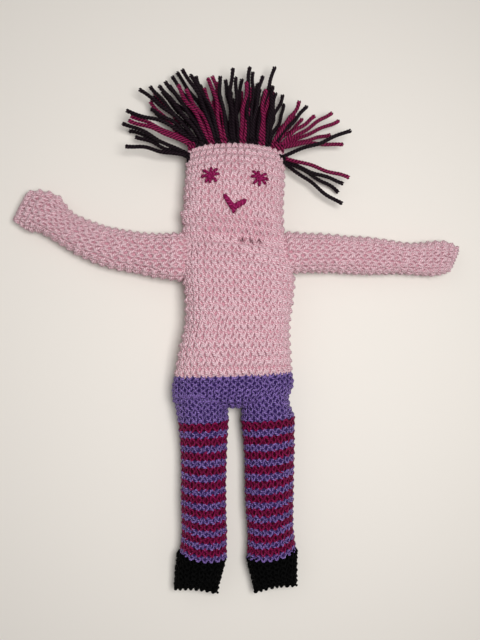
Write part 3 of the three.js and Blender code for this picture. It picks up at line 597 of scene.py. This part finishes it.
# %% Knit the arms
LIMB_POWER = 2.2
LEFT_ARM = [
    (31.0, 34.0, 14.4, 1.5, 26.5), (38.5, 34.2, 14.9, 0.8, 30.4), (46.0, 34.3, 14.6, 0.5, 28.6),
    (61.0, 34.5, 14.8, 0.0, 25.5), (75.0, 33.8, 14.8, 0.0, 24.0), (90.0, 33.2, 14.9, 0.0, 23.4),
    (103.0, 32.4, 13.9, 0.0, 23.0), (114.0, 31.8, 12.8, 0.0, 22.5), (127.0, 31.4, 12.7, 0.0, 22.0),
    (138.0, 32.0, 13.3, 0.0, 20.8), (146.0, 32.2, 12.4, 1.6, 18.6), (151.4, 31.6, 9.8, 6.2, 13.0),
]
RIGHT_ARM = [
    (-31.0, 31.0, 17.0, 1.5, 26.5), (-38.5, 31.2, 17.0, 0.8, 30.4), (-51.0, 32.0, 16.2, 0.3, 28.0),
    (-63.5, 33.8, 15.5, 0.0, 25.5), (-83.0, 37.8, 15.2, 0.0, 23.6), (-94.0, 41.4, 14.4, 0.0, 23.0),
    (-105.0, 46.6, 13.5, 0.0, 22.5), (-115.0, 52.0, 12.9, 0.0, 22.0),
    (-121.0, 56.4, 14.1, 0.0, 21.4), (-126.5, 60.2, 16.4, 0.4, 20.4),
    (-133.0, 63.0, 15.5, 2.0, 18.4), (-138.6, 64.4, 13.6, 4.4, 15.0),
    (-142.6, 65.0, 11.4, 6.4, 12.6),
]
HAND_TILT = {"left": -2.2, "right": -3.0}
SLEEVE = SOFT._replace(row=2.7, yarn=1.04, backing=0.4)

arm_rings = {}
for name, stations, way in (("left", LEFT_ARM, 1), ("right", RIGHT_ARM, -1)):
    tilt = (0, HAND_TILT[name])
    arm_rings[name] = swell(stuffed_form(
        stations, columns_for(stations), LIMB_POWER, upright=False, tilt=tilt, gauge=SLEEVE))
    arm = knit(name + "_arm_knit", arm_rings[name], [pink], gauge=SLEEVE)
    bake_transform(arm)
    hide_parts(name + "_arm_cover")

# %% [markdown]
# ## Legs
# Each leg is one stuffed tube in three yarns: the purple of the shorts, then ten pairs of magenta and
# purple stripes, each stripe one ridge or two courses high, then a black foot that is sewn flat at the toes.
# Colour follows the course, as in knitting, so no picture of stripes is needed.

# %% Knit the legs
STRIPES = 20
STRIPE_COURSES = 2
STRIPE_EASE = 0.1
STRIPED = Gauge(row=2.0, yarn=0.74, twist=5.0, lift=0.5, hook=0, reach=(1.45, 0.8), backing=0.4)
LEFT_LEG = [
    (19.6, -60.0, 15.8, 0.5, 30.0), (20.2, -68.0, 16.6, 0.3, 30.4), (21.6, -76.5, 18.3, 0.0, 28.4),
    (22.4, -97.0, 18.3, 0.0, 26.0), (22.4, -130.0, 17.7, 0.0, 26.0),
    (23.0, -149.0, 16.5, 0.0, 25.0), (23.6, -164.5, 16.7, 0.0, 24.0),
]
RIGHT_LEG = [
    (-22.6, -60.0, 17.8, 0.5, 30.0), (-22.2, -68.0, 17.6, 0.3, 30.4),
    (-21.0, -78.0, 17.0, 0.0, 28.4), (-20.8, -97.0, 16.5, 0.0, 26.0),
    (-21.0, -130.0, 16.3, 0.0, 26.0), (-20.6, -149.0, 16.0, 0.0, 25.0),
    (-21.2, -164.5, 15.9, 0.0, 24.0),
]
LEFT_FOOT = [
    (23.6, -163.6, 17.4, 0.0, 24.0), (24.6, -172.0, 16.8, 0.0, 23.0),
    (25.6, -181.0, 15.6, 1.5, 20.0), (26.0, -185.6, 15.2, 5.6, 16.0),
    (26.0, -187.8, 15.0, 7.4, 14.2),
]
RIGHT_FOOT = [
    (-22.2, -163.6, 16.6, 0.0, 24.0), (-23.6, -172.0, 16.4, 0.0, 23.0),
    (-25.2, -181.0, 15.6, 1.5, 20.0), (-25.9, -185.6, 15.2, 5.6, 16.0),
    (-26.2, -187.8, 15.1, 7.4, 14.2),
]
STRIPES_FROM = {"left": -76.6, "right": -77.8}
LEG_TILT = {"left": (1.4, 2.4), "right": (0.8, -1.6)}
LEG_BOW = (0.6, 2.0)
TOE_TILT = {"left": 1.8, "right": -1.6}
TOE_BOW = -2.0
STATION_GAP = 2


def stripe(course, courses):
    return course // STRIPE_COURSES % 2


def part_of(stations, start, end):
    """The stations of a limb between two heights, with its ends cut at them."""
    table = np.array(stations, float)
    ends = curve_through(-table[:, 1], table, -np.array([start, end]))
    inside = table[(table[:, 1] < start - STATION_GAP) & (table[:, 1] > end + STATION_GAP)]
    return np.concatenate([ends[:1], inside, ends[1:]])


leg_rings, foot_rings = {}, {}
for name, leg, foot in (("left", LEFT_LEG, LEFT_FOOT), ("right", RIGHT_LEG, RIGHT_FOOT)):
    columns = columns_for(leg)
    upper = part_of(leg, leg[0][1], STRIPES_FROM[name])
    lower = part_of(leg, STRIPES_FROM[name], leg[-1][1])
    first_tilt, last_tilt = LEG_TILT[name]
    upper_rings = stuffed_form(upper, columns, LIMB_POWER, tilt=(0, first_tilt), arch=(0, LEG_BOW[0]))
    leg_rings[name] = swell(stuffed_form(
        lower, columns, LIMB_POWER, tilt=LEG_TILT[name], arch=LEG_BOW,
        rows=STRIPES * STRIPE_COURSES, ease=STRIPE_EASE))
    foot_rings[name] = swell(stuffed_form(
        foot, columns, BODY_POWER, tilt=(last_tilt, TOE_TILT[name]), arch=(LEG_BOW[1], TOE_BOW)))
    shorts_leg = knit(name + "_shorts_leg_knit", upper_rings, [purple], first=len(upper_rings), gauge=NET)
    striped_leg = knit(name + "_leg_knit", leg_rings[name], [magenta, purple], stripe, gauge=STRIPED)
    foot_piece = knit(name + "_foot_knit", foot_rings[name], [black], first=1)
    for piece, node, slot in (
        (shorts_leg, "_shorts_leg", "purple_knit"),
        (striped_leg, "_leg_cover", "striped_knit"),
        (foot_piece, "_foot_cover", "black_knit"),
    ):
        if piece is foot_piece:
            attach(piece, name + "_leg")
        else:
            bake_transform(piece)
        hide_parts(name + node)

# %% [markdown]
# ## Twisted yarn
# The hair, the face and the sewing are loose yarn, where the twist shows. One tube with a drawn twist would
# be lighter, but its outline would stay smooth. So each is made as three thin tubes that wind round one line,
# and they part a little at a cut end. Yarn far from that line is painted paler and yarn near it darker, a
# painted highlight on the plies and painted shade in the grooves between them.

# %% Helper: a piece of twisted yarn
PLY_STEP = 0.7
PLY_TURN = 6.4
PLY_SIDES = 5
PLY_OFFSET = 0.54
PLY_RADIUS = 0.52
SIDEWAYS = (0.12, 0.07, 1.0)
FRAY_LENGTH = 5
END_TAPER = 0.5
END_ROUND = 0.35
PLY_SHIFT = 0.31
# How sharply the painted shade in the grooves turns to painted highlight, and how far out it turns.
GROOVE_SHADE = 6.0
GROOVE_SHADE_FROM = 0.88


def even_line(points, step=PLY_STEP):
    """The same line with its points evenly spaced."""
    points = np.asarray(points, float)
    run = np.concatenate([[0], np.cumsum(np.linalg.norm(np.diff(points, axis=0), axis=1))])
    at = np.linspace(0, run[-1], max(6, int(run[-1] / step)))
    return np.stack([np.interp(at, run, points[:, k]) for k in range(3)], 1), at


def twisted_yarn(name, lines, radius, shades, materials, fray=0.0):
    """One piece of several twisted yarns, each along its own line, in mm."""
    parts = []
    for line, shade in zip(lines, shades):
        middle, run = even_line(line)
        ahead = np.gradient(middle, axis=0)
        ahead /= np.linalg.norm(ahead, axis=1, keepdims=True)
        aside = np.cross(ahead, SIDEWAYS)
        aside /= np.linalg.norm(aside, axis=1, keepdims=True)
        over = np.cross(aside, ahead)
        loose = 1 + fray * np.clip((run - run[-1]) / FRAY_LENGTH + 1, 0, 1) ** 2
        start = chance.uniform(0, 2 * math.pi)
        for ply in range(PLIES):
            turn = (start + 2 * math.pi * (ply / PLIES + run / PLY_TURN))[:, None]
            offset = PLY_OFFSET * radius * loose[:, None] * (np.cos(turn) * aside + np.sin(turn) * over)
            ends = np.clip(np.minimum(run, run[-1] - run) / END_TAPER + END_ROUND, 0, 1)
            points, quads, patches, along, about, _ = lines_to_tubes(
                (middle + offset)[None], over[None], PLY_RADIUS * radius * ends, PLY_SIDES, False)
            # Painted shade and highlight: darker near the middle line, in the grooves, and paler on the
            # plies' outer sides.
            far = np.linalg.norm(points[0] - middle[:, None], axis=2) / radius
            crest = np.clip(GROOVE_SHADE * (far - GROOVE_SHADE_FROM), -1, 1).ravel()
            lay = np.stack([along * PLY_STEP / 2, about / PLIES + PLY_SHIFT * len(parts)], -1)
            parts.append((points.reshape(-1, 3), quads, patches, lay, crest, np.full(len(quads), shade)))
    first = np.cumsum([0] + [len(part[0]) for part in parts])
    strip = np.arange(len(parts))
    piece = mesh_object(
        name,
        np.concatenate([part[0] for part in parts]),
        np.concatenate([part[1] + first[i] for i, part in enumerate(parts)]),
        np.concatenate([(part[2] + (0, strip[i])) / (1, len(parts)) for i, part in enumerate(parts)]),
        *(np.concatenate([part[k] for part in parts]) for k in (3, 4, 5)),
        materials)
    return piece


# %% [markdown]
# ## Hair
# Short yarns are looped through the crown's edge in seventeen tufts. Each tuft is a knot over the edge and
# four or more cut strands that fan out over the floor. A hair particle system would scatter them evenly, but
# here single strands can be told apart. So the tips below were read off the photograph on a plane 12 mm up;
# each strand then slides along the camera's line of sight to its own height.

# %% Where the strands end
HAIR_RADIUS = 1.35
SHORT_STRANDS = 2
HAIR_HEIGHTS = (23, 17, 11, 6, 14, 9)
HAIR_PLANE = 12.0
HEIGHT_SPREAD = 1.5
HAIR_WAVE = 0.7
WAVES = 1.6
ROOT_PITCH = 4.25
CORNER_DROP = 7.0
B, M = 0, 1
HAIR = [
    [(B, -73.5, 106.3), (B, -75.6, 122.1), (B, -67.0, 113.0), (B, -71.0, 117.0)],
    [(M, -71.6, 124.3), (M, -70.0, 127.5), (M, -57.0, 137.8), (M, -54.3, 144.1)],
    [(B, -73.1, 131.1), (B, -64.5, 145.9), (B, -57.1, 148.2), (B, -55.0, 141.0)],
    [(B, -51.0, 149.0), (B, -47.0, 151.9), (B, -49.0, 145.0), (B, -44.0, 149.0)],
    [(M, -38.0, 150.0), (M, -33.0, 147.0), (B, -42.3, 155.6), (B, -38.9, 158.5)],
    [(B, -35.5, 160.7), (B, -30.0, 157.0), (B, -26.0, 156.0), (B, -23.0, 150.0)],
    [(M, -18.0, 155.0), (M, -15.0, 156.4), (M, -20.5, 148.0), (M, -11.5, 152.0)],
    [(B, -9.5, 156.5), (B, -6.0, 154.0), (B, -17.0, 153.0), (B, -12.0, 147.0)],
    [(B, -0.6, 162.4), (B, 1.4, 156.1), (B, 5.5, 154.8), (B, -4.0, 150.0)],
    [(M, 8.5, 153.0), (M, 12.0, 149.0), (M, 5.0, 146.0), (B, 15.0, 148.0)],
    [(B, 11.1, 163.5), (B, 13.0, 160.0), (B, 9.0, 150.0), (B, 16.5, 152.0)],
    [(B, 20.0, 157.4), (B, 28.3, 164.0), (B, 18.0, 148.0), (B, 24.0, 150.0)],
    [(M, 22.0, 148.0), (M, 25.0, 151.0), (M, 19.5, 143.0), (M, 27.0, 146.0)],
    [(B, 26.9, 150.5), (B, 29.0, 145.7), (B, 33.4, 144.4), (B, 34.0, 138.0)],
    [(M, 44.9, 140.5), (B, 50.4, 137.1), (M, 42.0, 132.0), (M, 47.0, 128.0)],
    [(M, 55.9, 130.2), (M, 67.8, 132.6), (M, 72.6, 127.1), (M, 66.3, 117.1), (M, 75.3, 110.3)],
    [(B, 81.0, 120.3), (M, 79.2, 87.3), (B, 75.0, 83.0), (B, 71.5, 76.7), (B, 74.2, 69.1)],
]


def seen_at(x, y, height):
    """The point at this height that the camera sees where (x, y) shows on the hair plane."""
    eye = np.array(EYE) / MM
    flat = np.array([x, y, HAIR_PLANE])
    return eye + (flat - eye) * (eye[2] - height) / (eye[2] - HAIR_PLANE)


# %% [markdown]
# ## One strand
# A strand leaves the crown straight up the head, more so in the middle than at the corners, then bends over
# to its tip with a slight wave. It could be drawn point by point, but a cubic curve with two pulling points
# needs only its ends, and some chance keeps the strands from looking alike.

# %% Helper: the line of a strand
STRAND_POINTS = 40
LEAN_SIDE = 0.25
LEAN_SPREAD = 0.2
LEAN_UP = 0.35
ROOT_PULL = (0.32, 0.14)
TIP_PULL = 0.68
SWAY = ((-3.5, 3.5), (-3, 3), (0, 2))
OFF_FLOOR = 0.2


def strand(root, tip, outer):
    reach = np.linalg.norm(tip - root)
    way = (tip - root) / reach
    lean_x = LEAN_SIDE * way[0] + chance.uniform(-LEAN_SPREAD, LEAN_SPREAD)
    lean = np.array([lean_x, 1.0, LEAN_UP * chance.uniform(0, 1)])
    lean += (way - lean) * outer ** 2
    bend = root + reach * (ROOT_PULL[0] * lean / np.linalg.norm(lean) + ROOT_PULL[1] * way)
    sway = np.array([chance.uniform(*span) for span in SWAY])
    bend_2 = root + TIP_PULL * (tip - root) + sway
    t = np.linspace(0, 1, STRAND_POINTS)[:, None]
    line = (1 - t) ** 3 * root + 3 * t * (1 - t) ** 2 * bend + 3 * t * t * (1 - t) * bend_2 + t ** 3 * tip
    aside = np.array([-way[1], way[0], 0])
    line += HAIR_WAVE * aside * np.sin(2 * math.pi * (WAVES * t + chance.random())) * t * (1 - t) * 4
    line[:, 2] = np.maximum(line[:, 2], HAIR_RADIUS + OFF_FLOOR)
    return line


# %% [markdown]
# ## Tufts on the crown
# Each tuft's root is a loop of two yarns over the edge, as a latch hook leaves it. Shorter strands in between
# fill the fan, because in the middle the real hair is too thick to see through.

# %% Tie the tufts to the crown
KNOT_TURN = (-0.25 * math.pi, 1.25 * math.pi)
KNOT_POINTS = 15
KNOT_ASIDE = 1.25
KNOT_BACK = 0.4
KNOT_LONG = 2.9
KNOT_HIGH = 4.9
CORNER_IN = 0.5
THICK_PART = 0.8
SHORT_REACH = (0.66, 0.86)
BLACK_SHARE = 0.7
ROOT_ASIDE = 2.2
ROOT_UP = 0.6
ROOT_HEIGHT = 1.8
FRAY = 0.35

crown = head_rings[-1]
edge = crown[np.argsort(crown[:, 0])]
crown_z = float(crown[:, 2].mean())
half = len(HAIR) // 2
roots = np.arange(-half, half + 1) * ROOT_PITCH + edge[:, 0].mean()
roots[0], roots[-1] = edge[0, 0] + CORNER_IN, edge[-1, 0] - CORNER_IN
strands = 0
for i, (x, tips) in enumerate(zip(roots, HAIR)):
    outer = abs(i - half) / half
    y = float(np.interp(x, edge[:, 0], edge[:, 1])) - (CORNER_DROP if outer == 1 else 0)
    lines, shades = [], []
    turn = np.linspace(*KNOT_TURN, KNOT_POINTS)
    for aside in (-KNOT_ASIDE, KNOT_ASIDE):
        loop_y, loop_z = y - KNOT_BACK - KNOT_LONG * np.sin(turn), crown_z + KNOT_HIGH * np.cos(turn)
        lines.append(np.stack([x + aside + 0 * turn, loop_y, loop_z], 1))
        shades.append(tips[0][0])
    for _ in range(SHORT_STRANDS if outer < THICK_PART else 0):
        a, b = (tips[k] for k in chance.choice(len(tips), 2, replace=False))
        share = chance.uniform(*SHORT_REACH)
        near = [r + share * ((a[k] + b[k]) / 2 - r) for k, r in ((1, x), (2, y))]
        tips = tips + [(B if chance.random() < BLACK_SHARE else tips[0][0], *near)]
    for k, (shade, tip_x, tip_y) in enumerate(tips):
        tip = seen_at(tip_x, tip_y, HAIR_HEIGHTS[k] + chance.uniform(-HEIGHT_SPREAD, HEIGHT_SPREAD))
        root_z = crown_z + (ROOT_HEIGHT if k < 2 else -ROOT_HEIGHT)
        root = np.array([x + (k % 2 - 0.5) * ROOT_ASIDE, y + ROOT_UP, root_z])
        lines.append(strand(root, tip, outer))
        shades.append(shade)
        strands += 1
    node = f"hair_tuft_{i + 1:02d}"
    tuft = twisted_yarn(node + "_yarn", lines, HAIR_RADIUS, shades, [black_hair, magenta_hair], fray=FRAY)
    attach(tuft, "head")
    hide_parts(node)
print("hair", len(HAIR), "tufts,", strands, "strands")

# %% [markdown]
# ## Face
# The eyes are stars of long stitches that meet in the middle, and the mouth is a V with a short stem. Flat
# patches would look printed, so they are sewn: each stitch comes up in the middle, lies over the fabric and
# goes down at its tip. A ray shot down on the head finds the height of the fabric.

# %% Sew the face
FACE_RADIUS = 1.05
MOUTH_RADIUS = 1.4
RIGHT_EYE = [(47, 6.3), (12, 5.6), (-45, 5.6), (-92, 4.6), (-126, 5.4), (-176, 5.6), (140, 5.8), (84, 5.2)]
LEFT_EYE = [(137, 6.0), (104, 4.2), (34, 5.2), (-8, 5.6), (-46, 5.6), (-92, 5.2), (-132, 6.0), (176, 5.4)]
EYES = (("right_eye", (-16.7, 81.4), RIGHT_EYE), ("left_eye", (15.2, 80.5), LEFT_EYE))
MOUTH = [
    ((-7.9, 68.4), (-2.0, 61.4)), ((-7.5, 67.2), (-2.6, 60.0)), ((5.8, 65.4), (-1.2, 61.6)),
    ((5.4, 64.2), (-1.0, 60.0)), ((-2.0, 62.4), (-1.9, 57.4)),
]
ABOVE_FACE = 200
FACE_POINTS = 14
TIP_DIP = (0.78, 0.22, 2.2)
START_DIP = (0.12, 1.2)
EYE_GAP = 0.3
EYE_LIFT = (0.25, 0.12)
MOUTH_LIFT = (0.3, 0.1)

wide, deep = head_rings.shape[1], len(head_rings)
cells = form_cells(deep, wide)[0].tolist()
head_skin = BVHTree.FromPolygons([Vector(p) for p in head_rings.reshape(-1, 3)], cells)


def face_height(x, y):
    hit = head_skin.ray_cast(Vector((x, y, ABOVE_FACE)), Vector((0, 0, -1)))[0]
    return hit.z + skin(SOFT)


def face_stitch(start, end, lift):
    t = np.linspace(0, 1, FACE_POINTS)
    x, y = (start[k] + (end[k] - start[k]) * t for k in (0, 1))
    z = np.array([face_height(a, b) for a, b in zip(x, y)])
    tip = np.clip((t - TIP_DIP[0]) / TIP_DIP[1], 0, 1) ** 2 * TIP_DIP[2]
    dip = tip + np.clip((START_DIP[0] - t) / START_DIP[0], 0, 1) ** 2 * START_DIP[1]
    return np.stack([x, y, z + lift - dip], 1)


for name, (x, y), rays in EYES:
    stitches = []
    for k, (angle, length) in enumerate(rays):
        way = np.array([math.cos(math.radians(angle)), math.sin(math.radians(angle))])
        lift = EYE_LIFT[0] + EYE_LIFT[1] * k
        stitches.append(face_stitch((x, y) + EYE_GAP * way, (x, y) + length * way, lift))
    eye = twisted_yarn(name + "_yarn", stitches, FACE_RADIUS, [0] * len(stitches), [face_magenta])
    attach(eye, "head")
    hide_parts(name)
stitches = []
for k, (start, end) in enumerate(MOUTH):
    stitches.append(face_stitch(end, start, MOUTH_LIFT[0] + MOUTH_LIFT[1] * k))
mouth = twisted_yarn("mouth_yarn", stitches, MOUTH_RADIUS, [0] * len(stitches), [face_magenta])
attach(mouth, "head")
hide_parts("mouth")
print("face", len(EYES), "eyes and a mouth of", len(MOUTH), "stitches")

# %% [markdown]
# ## Sewing
# Yarn joins the pieces: it winds over the edges of the neck, the shoulders and the hips, and closes the ends
# of the hands and the toes. A bevel could hint at it, but a real thread catches the light between the covers.
# The solids give the place and size of a round seam; a flat one follows the last ring of its limb.

# %% Sew the seams
SEAM_RADIUS = 0.7
SEAM_INSET = 0.04
SEAM_STITCH = 3.4
SEAM_POINTS = 10
LEAST_TURNS = 6


def round_seam(node, axis):
    """A wound seam that follows the ring of its solid; the ring lies across the axis 0, 1 or 2."""
    low, high = (np.array(corner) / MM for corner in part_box(node))
    a, b = [k for k in range(3) if k != axis]
    middle, half = (low + high) / 2, (high - low) / 2 - SEAM_RADIUS
    girth = math.pi * (half[a] + half[b])
    turns = max(LEAST_TURNS, round(girth / SEAM_STITCH))
    t = np.linspace(0, 2 * math.pi, turns * SEAM_POINTS)
    line = np.zeros((len(t), 3))
    line[:, a] = middle[a] + half[a] * np.cos(t)
    line[:, b] = middle[b] + half[b] * np.sin(t)
    line[:, axis] = middle[axis] + half[axis] * np.sin(turns * t)
    return line


def flat_seam(rings):
    """A zigzag along the flat end of a limb, over the edges that it closes."""
    last = rings[-1]
    half = len(last) // 2
    upper, lower = last[:half + 1], np.roll(last[::-1], 1, axis=0)[:half + 1]
    turns = round(np.linalg.norm(upper[0] - upper[-1]) / SEAM_STITCH)
    t = np.linspace(SEAM_INSET, 1 - SEAM_INSET, turns * SEAM_POINTS)
    sway = np.sin(2 * math.pi * turns * t)[:, None]
    at, knots = t * half, np.arange(half + 1)
    upper, lower = (
        np.stack([np.interp(at, knots, side[:, k]) for k in range(3)], 1) for side in (upper, lower))
    return (upper + lower) / 2 + (upper - lower) / 2 * sway


SEAMS = [
    ("neck_seam", 1, "torso", pink),
    ("left_hip_seam", 1, "torso", purple), ("right_hip_seam", 1, "torso", purple),
    ("left_shoulder_seam", 0, "left_shoulder", pink), ("right_shoulder_seam", 0, "right_shoulder", pink),
    ("left_hand_seam", arm_rings["left"], "left_arm", pink),
    ("right_hand_seam", arm_rings["right"], "right_arm", pink),
    ("left_toe_seam", foot_rings["left"], "left_leg", black),
    ("right_toe_seam", foot_rings["right"], "right_leg", black),
]
for node, way, body, material in SEAMS:
    line = round_seam(node, way) if isinstance(way, int) else flat_seam(way)
    seam = twisted_yarn(node + "_yarn", [line], SEAM_RADIUS, [0], [material])
    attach(seam, body)
    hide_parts(node)
print("seams", len(SEAMS))

# %% [markdown]
# ## Stuffing
# Inside is loose fibre filling. It can't be seen, but the doll has it. Fibres by the thousand would be wasted
# here, so each wad is a lumpy form a little smaller than its cover.

# %% Fill the covers
WALL = 4.4
LUMP = 0.9
LUMP_WAVES = 6
LUMP_SPAN = 9
LUMP_SHARE = 3
FIBRES = 40


def wad(name, stations, body, columns=28):
    table = np.array(stations, float)
    table[:, 2] -= WALL - skin(FINE)
    table[:, 3] += WALL - skin(FINE)
    table[:, 4] -= WALL - skin(FINE)
    upright = abs(table[-1, 1] - table[0, 1]) > abs(table[-1, 0] - table[0, 0])
    rings = close_ends(stuffed_form(table, columns, BODY_POWER, upright=upright))
    waves = chance.normal(0, 1, (LUMP_WAVES, 3)) / LUMP_SPAN
    lumps = sum(np.sin(rings @ wave + k) for k, wave in enumerate(waves)) / LUMP_SHARE
    rings = rings + LUMP * (lumps[..., None] - 1) * outward(rings)
    quads, maps = form_cells(*rings.shape[:2])
    shades = np.zeros(len(quads))
    # Painted shade and highlight: the lumps set the height, so hollows are painted darker, the deepest nearly
    # black.
    piece = mesh_object(
        name + "_wad", rings.reshape(-1, 3), quads, maps, maps * FIBRES, lumps.ravel(), shades, [fibre])
    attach(piece, body)
    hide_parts(name)


fibre = yarn_material(
    "white filling", tone(205, 202, 196), tone(228, 226, 221), tone(243, 242, 238),
    0.9, 0.2, fleck=0.9)
wad("body_stuffing", TORSO[1:] + SHORTS[1:4], "torso")
wad("head_stuffing", HEAD[2:-1], "head")
for name, arm, leg, foot in (
    ("left", LEFT_ARM, LEFT_LEG, LEFT_FOOT),
    ("right", RIGHT_ARM, RIGHT_LEG, RIGHT_FOOT),
):
    wad(name + "_arm_stuffing", arm[2:-1], name + "_arm")
    wad(name + "_leg_stuffing", leg[3:] + foot[1:-1], name + "_leg")

# %% [markdown]
# ## Floor and light
# A pale floor and soft lamps, one near the camera as in the photograph and one large and far, show the ridges
# without hard shadows. A sky picture would light it too, but two lamps are easier to understand and to set.

# %% Floor and lamps
FLOOR_REACH = 3.0
FLOOR_ROUGH = 0.8
ROOM_LIGHT = 0.22

corners = [(x * FLOOR_REACH, y * FLOOR_REACH, 0) for x, y in ((-1, -1), (1, -1), (1, 1), (-1, 1))]
floor_mesh = bpy.data.meshes.new("floor")
floor_mesh.from_pydata(corners, [], [(0, 1, 2, 3)])
floor = bpy.data.objects.new("floor", floor_mesh)
bpy.context.scene.collection.objects.link(floor)
paper = bpy.data.materials.new("pale floor")
paper.use_nodes = True
paper_shader = paper.node_tree.nodes["Principled BSDF"]
paper_shader.inputs["Base Color"].default_value = (*tone(226, 220, 212), 1)
paper_shader.inputs["Roughness"].default_value = FLOOR_ROUGH
floor.data.materials.append(paper)

LAMPS = [
    ("key", (0.08, -0.02, 0.58), 0.22, 3.1),
    ("fill", (-0.45, 0.35, 0.70), 0.60, 0.8),
]
for name, place, size, power in LAMPS:
    lamp = bpy.data.lights.new(name, "AREA")
    lamp.energy, lamp.size = power, size
    lamp = bpy.data.objects.new(name, lamp)
    lamp.location = place
    lamp.rotation_euler = (Vector((0, 0, 0)) - Vector(place)).to_track_quat("-Z", "Y").to_euler()
    bpy.context.scene.collection.objects.link(lamp)
world = bpy.data.worlds.new("room")
bpy.context.scene.world = world
world.use_nodes = True
world.node_tree.nodes["Background"].inputs["Color"].default_value = (1, 1, 1, 1)
world.node_tree.nodes["Background"].inputs["Strength"].default_value = ROOM_LIGHT
bpy.context.scene.view_settings.view_transform = "Standard"
print("lamps", len(LAMPS))
